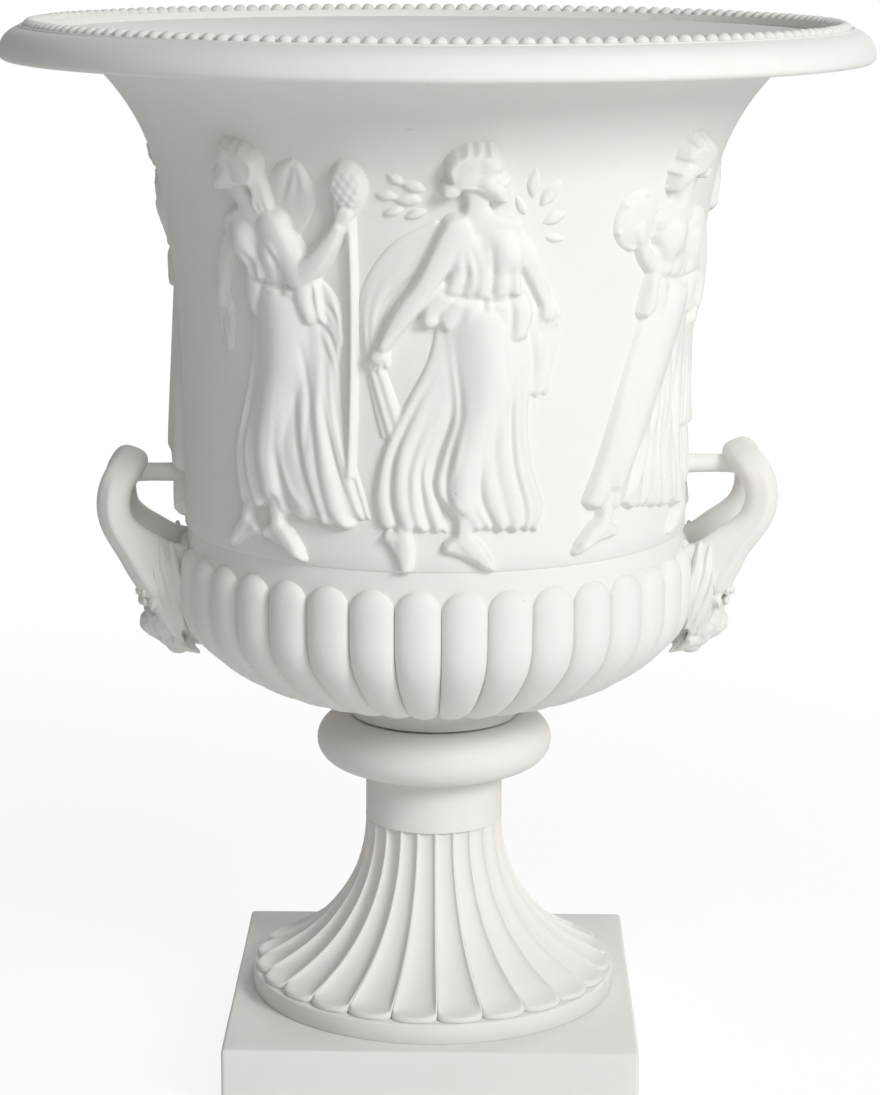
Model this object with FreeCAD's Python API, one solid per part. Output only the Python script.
import FreeCAD, Part
import math
import os

# A two-handled garden urn of the campana kind in white cast stone, in millimetres.
# The plinth stands on z = 0, the urn's axis is +Z and its front faces -Y.
# Each handle piece is drawn on the +X side first and then turned to its place.

# Plinth: a square slab with a recess below for the nut of the tie rod
plinth_side = 300.0
plinth_height = 48.0
plinth_edge_round = 3.0
recess_radius = 34.0
recess_depth = 24.0

# Pedestal: base ring, fluted flare with rounded petal tips, plain neck, cove and collar
ring_radius = 136.5
ring_height = 15.0
ring_edge_round = 1.6
tip_radius = 134.5
tip_height = 4.5
tip_notch = 8.5
flare_height = 116.0
flute_count = 24
flute_depth = 4.6
arris_width = 0.9
neck_radius = 51.0
neck_height = 34.0
cove_radius = 8.5
collar_radius = 87.5
collar_reach = 20.5
collar_height = 37.0
bore_radius = 14.0

# Bedding ring between collar and bowl
gasket_thickness = 1.5
gasket_radius = 58.0

# Bowl: foot, lobed belly, recessed band, drum with a flared top, rim and cavity
seat_radius = 62.0
foot_height = 19.0
lobe_count = 36
lobe_end_radius = 80.0
crest_radius = 191.0
belly_height = 77.0
lobe_shoulder = 21.0
lobe_gap = 0.3
lobe_bed = 1.2
band_height = 30.0
band_step = 1.4
waist_radius = 183.8
waist_height = 81.0
throat_radius = 248.0
drum_height = 254.3
wall_thickness = 16.5
floor_thickness = 24.0
floor_radius = 58.0
drain_radius = 20.0
rim_radius = 310.3
rim_thickness = 22.7
ovolo_width = 14.3
ovolo_tuck = 4.5
bead_width = 10.0
bead_flat = 4.0
bead_height = 5.5
bead_margin = 3.5
bead_inset = 1.5
ledge_width = 6.0
ledge_drop = 4.5

# The urn stands a little turned on its plinth, in degrees
urn_turn = 2.2

# Handles: a loop of two strands on a mask, joined by an arch at the top
strand_spread = 32.0
strand_radius = 12.6
loop_root_reach = 15.0
loop_reach = 45.5
loop_lean = 13.0
loop_start = 10.0
loop_height = 60.0
arch_height = 28.0
root_slope = 22.0

# Strut between the drum and the arch
strut_radius = 7.0
strut_drop = 9.5

# Mask below each handle: a bearded head
mask_rise = 27.5
mask_height = 70.0
mask_reach = 33.0
mask_half_width = 33.0
mask_depth = 27.0
brow_radius = 3.2
brow_width = 26.0
brow_arch = 3.0
nose_depth = 9.0
nose_width = 12.0
nostril_height = 4.0
moustache_radius = 4.4
moustache_width = 21.0
moustache_drop = 11.0
lock_radius = 4.8
lock_taper = 0.5
lock_swell = 1.06
curl_radius = 5.2
curl_eye_radius = 2.6
curl_rise = 3.9
temple_reach = 8.0
temple_drop = 34.0
temple_spread = 27.0
temple_radius = 6.0

# Steel rod that clamps plinth, pedestal and bowl together, with its hardware
rod_radius = 6.0
rod_end = 4.0
nut_width = 19.0
nut_height = 10.0
washer_radius = 18.0
washer_thickness = 2.5
bar_length = 96.0
bar_width = 26.0
bar_thickness = 8.0
rod_fit = 0.3

# Dowels of the bonded joints
dowel_radius = 3.0
dowel_fit = 0.3
wall_dowel_depth = 8.0
mask_dowel_depth = 14.0
mask_dowel_spread = 16.6
strut_dowel_depth = 14.0
root_dowel_depth = 9.0

# Clearance of the bonded joints and overrun of all cuts
bond_line = 0.3
overrun = 6.0

# Heights and radii that follow from the sizes above
flare_base = plinth_height + ring_height
neck_base = flare_base + flare_height
cove_base = neck_base + neck_height
collar_base = cove_base + cove_radius
pedestal_top = collar_base + collar_height
bowl_base = pedestal_top + gasket_thickness
lobe_base = bowl_base + foot_height
belly_z = lobe_base + belly_height
shoulder_z = belly_z + lobe_shoulder
band_top = shoulder_z + band_height
waist_top = band_top + waist_height
rim_base = waist_top + drum_height
rim_top = rim_base + rim_thickness
floor_z = lobe_base + floor_thickness
ledge_z = rim_top - ledge_drop
band_radius = waist_radius - band_step
lobe_depth = crest_radius - band_radius
cavity_radius = waist_radius - wall_thickness
bead_outer = rim_radius - ovolo_width - bead_margin
bead_inner = bead_outer - bead_width
lip_outer = bead_inner - bead_inset
lip_inner = lip_outer - ledge_width
root_z = belly_z + loop_start
mask_top = belly_z + mask_rise
mask_base = mask_top - mask_height
arch_z = root_z + loop_height + arch_height
strut_z = arch_z - strut_drop

# Where the two arcs of an outline meet, as shares of its width and of its height
flare_joint_shares = (0.644, 0.128)
belly_joint_shares = (0.893, 0.596)
drum_joint_shares = (0.237, 0.657)
# Depth of a flute at its stations from the neck to the tip, as shares of the full depth
flute_shares = (0.62, 0.72, 0.83, 0.93, 1.0, 0.9, 0.55, 0.1)
# Stations of a lobe's rounded top, as shares of a quarter turn
lobe_top_shares = (0.96, 0.72, 0.4)
lobe_spans = 3
# Where the straight inner face of the rim starts, as a share of the upper arc of the wall
inner_joint_share = 0.85
# Head of the mask, an egg that leans outward, from beard tip to crown: shares of height, half width and reach
head_shares = (
    (0.0, 0.22, -0.16),
    (0.14, 0.54, 0.34),
    (0.3, 0.8, 0.56),
    (0.48, 0.94, 0.72),
    (0.66, 0.98, 0.84),
    (0.84, 0.9, 0.86),
    (1.0, 0.64, 0.67),
)
# Hairline and chin, as shares of the mask's height: brow and nostrils part the face between them in thirds
hairline_share = 0.89
chin_share = 0.18
brow_share = chin_share + (hairline_share - chin_share) * 2 / 3
nostril_share = chin_share + (hairline_share - chin_share) / 3
moustache_share = chin_share + (hairline_share - chin_share) * 0.28
# Beard locks: shares of height and half width where each starts and ends
lock_shares = (
    (0.27, 0.0, 0.05, 0.0),
    (0.3, 0.26, 0.08, 0.15),
    (0.34, 0.52, 0.14, 0.3),
    (0.42, 0.76, 0.24, 0.5),
)
# Curls of the hair: shares of height and half width
curl_shares = ((0.93, 0.0), (0.91, 0.3), (0.85, 0.58), (0.72, 0.82), (0.56, 0.92))
pin_spans = 12

AXIS = FreeCAD.Vector(0, 0, 1)
ORIGIN = FreeCAD.Vector(0, 0, 0)


def at(radius, z, y=0.0):
    """A point at a radius, a height and a distance to the side."""
    return FreeCAD.Vector(radius, y, z)


def straight(*points):
    """Straight edges through the points in turn."""
    return [Part.LineSegment(a, b).toShape() for a, b in zip(points[:-1], points[1:])]


def tangent_arc(start, along, end):
    """The arc that leaves start in a direction and ends at end, and its direction there."""
    chord = end.sub(start)
    unit = FreeCAD.Vector(chord).normalize()
    cosine = along.dot(unit)
    bulge = (along - unit * cosine) * (chord.Length / 2 / (1 + cosine))
    arc = Part.ArcOfCircle(start, start + chord / 2 + bulge, end)
    return arc, unit * (2 * cosine) - along


def two_arcs(start, along, joint, end):
    """Two arcs in one smooth line through a joint, and the direction at their end."""
    first, along = tangent_arc(start, along, joint)
    second, along = tangent_arc(joint, along, end)
    return [first, second], along


def stations(arcs, spans):
    """Points along the arcs with the outline's direction there, spans to each arc."""
    places = []
    for arc in arcs:
        length = arc.LastParameter - arc.FirstParameter
        for i in range(spans + 1):
            place = arc.FirstParameter + length * i / spans
            if i or not places:
                places.append((arc.value(place), arc.tangent(place)[0]))
    return places


def shapes(arcs):
    return [arc.toShape() for arc in arcs]


def left_of(along):
    """The direction to the left of an outline that runs along a direction."""
    return at(-along.z, along.x).normalize()


def between(low, high, share):
    return low + (high - low) * share


def revolve(edges):
    """A solid of revolution about the urn's axis from a closed outline."""
    wire = Part.Wire(Part.__sortEdges__(edges))
    return Part.Face(wire).revolve(ORIGIN, AXIS, 360)


def disc(radius, base, height):
    return Part.makeCylinder(radius, height, at(0, base))


def bar(start, end, radius):
    """A round bar between two points."""
    along = end.sub(start)
    return Part.makeCylinder(radius, along.Length, start, along)


def around(shape, count):
    """Copies of a shape round the axis, with none on the +X axis itself."""
    made = []
    for i in range(count):
        turned = shape.copy()
        turned.rotate(ORIGIN, AXIS, 360 * (i + 0.5) / count)
        made.append(turned)
    return made


def mirrored(shape):
    """The shape together with its mirror image across y = 0."""
    return shape.fuse(shape.mirror(ORIGIN, FreeCAD.Vector(0, 1, 0)))


def crest_arcs(gap):
    """The crest line of the lobes from its side down to its end, grown by a gap."""
    out, up = belly_joint_shares
    joint = at(between(lobe_end_radius, crest_radius, out), between(lobe_base, belly_z, up))
    arcs, _ = two_arcs(at(crest_radius, belly_z), at(0, -1), joint, at(lobe_end_radius, lobe_base))
    ends = [point + left_of(along) * gap for point, along in stations(arcs, 1)]
    return two_arcs(ends[0], at(0, -1), ends[1], ends[2])[0]


def lobe_sections():
    """The crest, the foot and the width share of each section of a lobe, from its top down."""
    rows = []
    for share in lobe_top_shares:
        turn = math.pi / 2 * share
        half_width = math.pi / lobe_count * crest_radius
        height = shoulder_z + half_width * math.sin(turn)
        crest = at(band_radius + lobe_depth * math.cos(turn), height)
        rows.append((crest, at(band_radius, height), math.cos(turn)))
    rows.append((at(crest_radius, shoulder_z), at(band_radius, shoulder_z), 1))
    for point, along in stations(crest_arcs(0), lobe_spans):
        depth = lobe_depth * point.x / crest_radius
        rows.append((point, point - left_of(along) * depth, 1))
    return rows


def lobe():
    """One lobe of the belly on the +X side, rounded over at its top and bedded in the wall."""
    sections = []
    for crest, foot, width in lobe_sections():
        half_angle = (math.pi / lobe_count - lobe_gap / 2 / foot.x) * width
        side = FreeCAD.Vector(0, foot.x * math.sin(half_angle), 0)
        middle = at(foot.x * math.cos(half_angle), foot.z)
        middle -= crest.sub(foot).normalize() * lobe_bed
        arc = Part.Arc(middle - side, crest, middle + side).toShape()
        sections.append(Part.Wire([arc] + straight(middle + side, middle - side)))
    return Part.makeLoft(sections, True, True)


def drum_arcs(inset):
    """The outer face of the drum above its waist, moved into the wall by an inset."""
    out, up = drum_joint_shares
    joint = at(between(waist_radius, throat_radius, out), between(waist_top, rim_base, up))
    arcs, _ = two_arcs(at(waist_radius, waist_top), at(0, 1), joint, at(throat_radius, rim_base))
    ends = [point + left_of(along) * inset for point, along in stations(arcs, 1)]
    return two_arcs(ends[0], at(0, 1), ends[1], ends[2])[0]


def bowl_outside():
    """The outline of the bowl's outer face, from the foot up over the rim to its lip."""
    valley = [foot for _, foot, _ in lobe_sections()[len(lobe_top_shares) + 1:]]
    edges = straight(at(0, bowl_base), at(seat_radius, bowl_base))
    cove, _ = tangent_arc(at(seat_radius, bowl_base), at(0, 1), valley[-1])
    belly, _ = two_arcs(valley[0], at(0, -1), valley[lobe_spans], valley[-1])
    edges += shapes([cove] + belly)
    edges += straight(
        valley[0],
        at(band_radius, band_top),
        at(waist_radius, band_top),
        at(waist_radius, waist_top),
    )
    edges += shapes(drum_arcs(0))
    tuck = at(rim_radius - ovolo_tuck, rim_base)
    widest = at(rim_radius, rim_base + ovolo_tuck)
    top = at(rim_radius - ovolo_width, rim_top)
    edges += straight(at(throat_radius, rim_base), tuck)
    edges += shapes([tangent_arc(tuck, at(1, 0), widest)[0], tangent_arc(widest, at(0, 1), top)[0]])
    bead_top = rim_top + bead_height
    bevel = (bead_width - bead_flat) / 2
    edges += straight(
        top,
        at(bead_outer, rim_top),
        at(bead_outer - bevel, bead_top),
        at(bead_inner + bevel, bead_top),
        at(bead_inner, rim_top),
        at(lip_outer, rim_top),
        at(lip_outer, ledge_z),
        at(lip_inner, ledge_z),
    )
    return edges


def bowl_inside():
    """The outline of the cavity, from the lip down to the middle of its floor."""
    lower, upper = drum_arcs(wall_thickness)
    end = between(upper.FirstParameter, upper.LastParameter, inner_joint_share)
    upper = Part.Arc(upper.value(upper.FirstParameter),
                     upper.value(between(upper.FirstParameter, end, 1 / 2)), upper.value(end))
    edges = straight(at(lip_inner, ledge_z), upper.value(upper.LastParameter))
    edges += shapes([lower, upper])
    edges += straight(at(cavity_radius, waist_top), at(cavity_radius, belly_z))
    out, up = belly_joint_shares
    joint = at(between(floor_radius, cavity_radius, out), between(floor_z, belly_z, up))
    floor_edge = at(floor_radius, floor_z)
    edges += shapes(two_arcs(at(cavity_radius, belly_z), at(0, -1), joint, floor_edge)[0])
    return edges + straight(floor_edge, at(0, floor_z), at(0, bowl_base))


def bowl():
    """The bowl in one piece: foot, lobed belly, drum, rim, cavity and drain."""
    body = revolve(bowl_outside() + bowl_inside()).fuse(around(lobe(), lobe_count))
    holes = [disc(drain_radius, bowl_base - overrun, floor_z - bowl_base + 2 * overrun)]
    for pin in mask_pins(dowel_fit) + [strut_pin(dowel_fit)]:
        holes += [pin, turned(pin, 180)]
    return body.cut(holes)


def flare_arcs():
    """The flare of the pedestal from the neck down to the tips."""
    tip_z = flare_base + tip_height
    out, up = flare_joint_shares
    joint = at(between(neck_radius, tip_radius, out), between(tip_z, neck_base, up))
    return two_arcs(at(neck_radius, neck_base), at(0, -1), joint, at(tip_radius, tip_z))[0]


def flute():
    """The cutter of one flute on the +X side, from the neck down past the tip."""
    rows = stations(flare_arcs()[:1], len(flute_shares) - 3)
    rows += stations(flare_arcs()[1:], 2)[1:]
    point, along = rows[-1]
    rows.append((point + along * overrun, along))
    depths = [flute_depth * share for share in flute_shares]
    depths.append(depths[-1])
    sections = []
    for (point, along), depth in zip(rows, depths):
        half_angle = math.pi / flute_count - arris_width / 2 / point.x
        side = FreeCAD.Vector(0, point.x * math.sin(half_angle), 0)
        middle = at(point.x * math.cos(half_angle), point.z)
        outward = left_of(along)
        arc = Part.Arc(middle - side, middle - outward * depth, middle + side).toShape()
        lift = outward * overrun
        box = straight(middle + side, middle + side + lift, middle - side + lift, middle - side)
        sections.append(Part.Wire([arc] + box))
    return Part.makeLoft(sections, True, True)


def scallops(base, height):
    """A prism whose sides are the rounded tips of the petals."""
    half_pitch = math.pi / flute_count
    notch = tip_radius - tip_notch
    side = notch * math.sin(half_pitch)
    reach = notch * math.cos(half_pitch)
    arc = Part.Arc(at(reach, base, -side), at(tip_radius, base), at(reach, base, side)).toShape()
    outline = Part.Wire(Part.__sortEdges__(around(arc, flute_count)))
    return Part.Face(outline).extrude(at(0, height))


def pedestal():
    """Base ring, fluted flare with scalloped tips, neck, cove and collar, bored through."""
    sunk_z = flare_base - ring_height / 2
    tip = at(tip_radius, flare_base + tip_height)
    collar_x = collar_radius - collar_reach
    cove_end = at(neck_radius + cove_radius, collar_base)
    cove, _ = tangent_arc(at(neck_radius, cove_base), at(0, 1), cove_end)
    collar = Part.Arc(at(collar_x, collar_base), at(collar_radius, collar_base + collar_height / 2),
                      at(collar_x, pedestal_top))
    edges = straight(at(0, pedestal_top), at(0, sunk_z), at(tip_radius, sunk_z), tip)
    edges += shapes(flare_arcs())
    edges += straight(at(neck_radius, neck_base), at(neck_radius, cove_base))
    edges += shapes([cove, collar])
    edges += straight(cove_end, at(collar_x, collar_base))
    edges += straight(at(collar_x, pedestal_top), at(0, pedestal_top))
    body = revolve(edges).common(scallops(sunk_z, pedestal_top - sunk_z + overrun))
    body = body.cut(around(flute(), flute_count))
    ring = disc(ring_radius, plinth_height, ring_height)
    rim = [edge for edge in ring.Edges if edge.BoundBox.ZMin > flare_base - ring_edge_round]
    ring = ring.makeFillet(ring_edge_round, rim)
    bore = disc(bore_radius, plinth_height - overrun, pedestal_top - plinth_height + 2 * overrun)
    return body.fuse(ring).cut(bore)


def plinth():
    """The square plinth, rounded along its top and corners, recessed below."""
    corner = FreeCAD.Vector(-plinth_side / 2, -plinth_side / 2, 0)
    slab = Part.makeBox(plinth_side, plinth_side, plinth_height, corner)
    rounded = [edge for edge in slab.Edges if edge.BoundBox.ZMax > plinth_height / 2]
    slab = slab.makeFillet(plinth_edge_round, rounded)
    recess = disc(recess_radius, -overrun, recess_depth + overrun)
    return slab.cut([recess, disc(bore_radius, 0, plinth_height + overrun)])


def biarc(start, along, end, onward):
    """Two arcs in space that lead smoothly from one point and direction to another."""
    chord = end.sub(start)
    lean = chord.dot(along + onward)
    turn = 2 * (1 - along.dot(onward))
    reach = (math.sqrt(lean * lean + turn * chord.dot(chord)) - lean) / turn
    joint = (start + end + (along - onward) * reach) / 2
    return two_arcs(start, along, joint, end)[0]


def strand_arcs():
    """The centre line of a strand, from its root in the mask to the top of the arch."""
    slope = math.radians(root_slope)
    root = at(crest_radius + loop_root_reach, root_z, strand_spread)
    side = at(crest_radius + loop_reach, root_z + loop_height, strand_spread)
    top = at(crest_radius + loop_reach - loop_lean, side.z + arch_height)
    leg = biarc(root, at(math.sin(slope), math.cos(slope)), side, AXIS)
    return leg + biarc(side, AXIS, top, FreeCAD.Vector(0, -1, 0))


def strand():
    """One strand with its half of the arch, on the +Y side of the +X handle."""
    parts = []
    for arc in strand_arcs():
        start = arc.value(arc.FirstParameter)
        along = arc.tangent(arc.FirstParameter)[0]
        ring = Part.Face(Part.Wire([Part.makeCircle(strand_radius, start, along)]))
        sweep = math.degrees(arc.LastParameter - arc.FirstParameter)
        parts.append(ring.revolve(arc.Center, arc.Axis, sweep))
    return parts[0].fuse(parts[1:])


def root_pin(fit):
    """The dowel in the joint between mask and strand, on the +Y side."""
    leg = strand_arcs()[:2]
    middle, along = min(stations(leg, pin_spans), key=lambda row: abs(row[0].z - mask_top))
    reach = along * (root_dowel_depth + fit)
    return bar(middle - reach, middle + reach, dowel_radius + fit)


def strut_pin(fit):
    """The dowel between drum and strut."""
    start = at(waist_radius - wall_dowel_depth - fit, strut_z)
    end = at(waist_radius + bond_line + strut_dowel_depth + fit, strut_z)
    return bar(start, end, dowel_radius + fit)


def mask_pins(fit):
    """The two dowels between belly and mask."""
    pins = []
    height = mask_base + mask_height / 2
    for side in (-mask_dowel_spread, mask_dowel_spread):
        start = at(band_radius - wall_dowel_depth - fit, height, side)
        end = at(crest_radius + mask_dowel_depth + fit, height, side)
        pins.append(bar(start, end, dowel_radius + fit))
    return pins


def strut(fit):
    """The round strut from the drum into the arch, grown by a fit."""
    end = crest_radius + loop_reach - loop_lean + fit
    body = bar(at(0, strut_z), at(end, strut_z), strut_radius + fit)
    wall = disc(waist_radius + bond_line, strut_z - 2 * strut_radius, 4 * strut_radius)
    return body.cut(wall)


def crest_wall(gap):
    """A solid that fills the bowl out to the lobes' crests, grown by a gap."""
    arcs = crest_arcs(gap)
    start = arcs[0].value(arcs[0].FirstParameter)
    end = arcs[1].value(arcs[1].LastParameter)
    top = mask_top + overrun
    edges = straight(start, at(start.x, top), at(0, top), at(0, end.z), end)
    return revolve(edges + shapes(arcs))


def head_section(row):
    """A section of the mask's head from its shares: a round front and a flat back."""
    up, wide, out = row
    height = mask_base + mask_height * up
    front = at(crest_radius + mask_reach * out, height)
    side = FreeCAD.Vector(0, mask_half_width * wide, 0)
    middle = front - at(mask_depth * wide, 0)
    back = at(lobe_end_radius, height)
    arc = Part.Arc(middle - side, front, middle + side).toShape()
    return Part.Wire([arc] + straight(middle + side, back + side, back - side, middle - side))


def face_at(up, across):
    """A point on the front of the head, at a share of its height and of its half width."""
    for low, high in zip(head_shares[:-1], head_shares[1:]):
        if up <= high[0]:
            break
    share = (up - low[0]) / (high[0] - low[0])
    wide = between(low[1], high[1], share)
    out = between(low[2], high[2], share)
    fall = mask_depth * wide * (1 - math.sqrt(max(1 - (across / wide) ** 2, 0)))
    return at(crest_radius + mask_reach * out - fall, mask_base + mask_height * up, mask_half_width * across)


def cone(start, end, first, last):
    """A tapered round bar between two points."""
    along = end.sub(start)
    return Part.makeCone(first, last, along.Length, start, along)


def lock(start, end, first, last):
    """A tapered lock of hair with round ends."""
    balls = [Part.makeSphere(first * lock_swell, start), Part.makeSphere(last * lock_swell, end)]
    return [cone(start, end, first, last)] + balls


def temple_lock():
    """The lock that carries the root of the strand down beside the face."""
    root = at(crest_radius + loop_root_reach, root_z, strand_spread)
    end = at(crest_radius + temple_reach, root_z - temple_drop, temple_spread)
    return lock(root, end, strand_radius, temple_radius)


def nose():
    """The nose: a ruled wedge from the brow to the tip and back to the lip."""
    sections = []
    tip_share = nostril_share + nostril_height / mask_height
    places = ((brow_share, nose_depth / 4, nose_width / 3, 0), (tip_share, nose_depth, nose_width, 0),
              (tip_share, nose_depth / 3, nose_width, nostril_height))
    for up, depth, width, drop in places:
        middle = face_at(up, 0) - at(0, drop)
        side = FreeCAD.Vector(0, width / 2, 0)
        out = at(depth, 0)
        corners = [middle - out - side, middle + out - side / 2, middle + out + side / 2, middle - out + side]
        sections.append(Part.makePolygon(corners + corners[:1]))
    return Part.makeLoft(sections, True, True)


def features():
    """Nose, brow, moustache, beard locks and curls on the +Y half of the mask."""
    brow = face_at(brow_share, 0)
    arch = face_at(brow_share, brow_width / 2 / mask_half_width) + at(0, brow_arch)
    temple = face_at(brow_share, brow_width / mask_half_width)
    lip = face_at(moustache_share, 0)
    tip = face_at(moustache_share - moustache_drop / mask_height, moustache_width / mask_half_width)
    solids = [
        nose(),
        cone(brow, arch, brow_radius, brow_radius * 1.1),
        cone(arch, temple, brow_radius * 1.1, brow_radius / 2),
        cone(lip, tip, moustache_radius, moustache_radius / 3),
    ]
    for up, across, low, inward in lock_shares:
        solids += lock(face_at(up, across), face_at(low, inward), lock_radius, lock_radius * lock_taper)
    for up, across in curl_shares:
        middle = face_at(up, across)
        eye = middle + FreeCAD.Vector(1, across, 0) * curl_rise
        solids += [Part.makeSphere(curl_radius, middle), Part.makeSphere(curl_eye_radius, eye)]
    return solids


def mask():
    """A bearded head with the two roots of its handle, backed to the belly."""
    head = Part.makeLoft([head_section(row) for row in head_shares], True, True)
    half = head.fuse(features() + temple_lock() + [strand()])
    below = Part.makeBox(2 * rim_radius, rim_radius, mask_top - mask_base + overrun,
                         at(0, mask_base - overrun))
    half = half.common(below)
    return mirrored(half).cut([crest_wall(bond_line)] + mirrored_pins(dowel_fit))


def mirrored_pins(fit):
    """All pin holes of one mask."""
    pin = root_pin(fit)
    return mask_pins(fit) + [pin, pin.mirror(ORIGIN, FreeCAD.Vector(0, 1, 0))]


def handle():
    """The loop of two strands above the mask, with the strut's socket in its arch."""
    above = Part.makeBox(2 * rim_radius, rim_radius, arch_z, at(0, mask_top + bond_line))
    half = strand().common(above)
    pin = root_pin(dowel_fit)
    return mirrored(half).cut([strut(bond_line), pin, pin.mirror(ORIGIN, FreeCAD.Vector(0, 1, 0))])


def nut(base):
    """A hexagon nut with a plain bore on the rod."""
    radius = nut_width / math.sqrt(3)
    corners = []
    for i in range(7):
        turn = math.pi * i / 3
        corners.append(FreeCAD.Vector(radius * math.cos(turn), radius * math.sin(turn), base))
    block = Part.Face(Part.makePolygon(corners)).extrude(at(0, nut_height))
    return block.cut(disc(rod_radius + rod_fit, base - overrun, nut_height + 2 * overrun))


def washer(base):
    plate = disc(washer_radius, base, washer_thickness)
    return plate.cut(disc(rod_radius + rod_fit, base - overrun, washer_thickness + 2 * overrun))


def clamp_bar():
    """The flat bar across the drain hole, which leaves the water a way on both sides."""
    corner = FreeCAD.Vector(-bar_length / 2, -bar_width / 2, floor_z)
    plate = Part.makeBox(bar_length, bar_width, bar_thickness, corner)
    return plate.cut(disc(rod_radius + rod_fit, floor_z - overrun, bar_thickness + 2 * overrun))


def gasket():
    ring = disc(gasket_radius, pedestal_top, gasket_thickness)
    return ring.cut(disc(drain_radius, pedestal_top - overrun, gasket_thickness + 2 * overrun))


def turned(shape, angle):
    """A copy of the shape turned about the urn's axis."""
    copy = shape.copy()
    copy.rotate(ORIGIN, AXIS, angle)
    return copy


def sides(solids):
    """The solids of the +X side together with those of the -X side."""
    return Part.makeCompound(solids + [turned(solid, 180) for solid in solids])


def model():
    """Every node of the urn by its name."""
    low_nut = recess_depth - washer_thickness - nut_height
    high_washer = floor_z + bar_thickness
    high_nut = high_washer + washer_thickness
    rod = disc(rod_radius, low_nut - rod_end, high_nut + nut_height - low_nut + 2 * rod_end)
    right_mask = mask()
    right_handle = handle()
    right_strut = strut(0).cut(strut_pin(dowel_fit))
    pin = root_pin(0)
    urn = {
        "pedestal": pedestal(),
        "bowl_gasket": gasket(),
        "bowl": bowl(),
        "mask_right": right_mask,
        "mask_left": turned(right_mask, 180),
        "handle_right": right_handle,
        "handle_left": turned(right_handle, 180),
        "strut_right": right_strut,
        "strut_left": turned(right_strut, 180),
        "mask_dowels": sides(mask_pins(0)),
        "handle_dowels": sides([pin, pin.mirror(ORIGIN, FreeCAD.Vector(0, 1, 0))]),
        "strut_dowels": sides([strut_pin(0)]),
        "tie_rod": rod,
        "clamp_bar": clamp_bar(),
        "washers": Part.makeCompound([washer(recess_depth - washer_thickness), washer(high_washer)]),
        "nuts": Part.makeCompound([nut(low_nut), nut(high_nut)]),
    }
    nodes = {name: turned(shape, urn_turn) for name, shape in urn.items()}
    nodes["plinth"] = plinth()
    return nodes


def main():
    os.makedirs("parts", exist_ok=True)
    for name, shape in model().items():
        shape.exportStep("parts/" + name + ".step")


main()
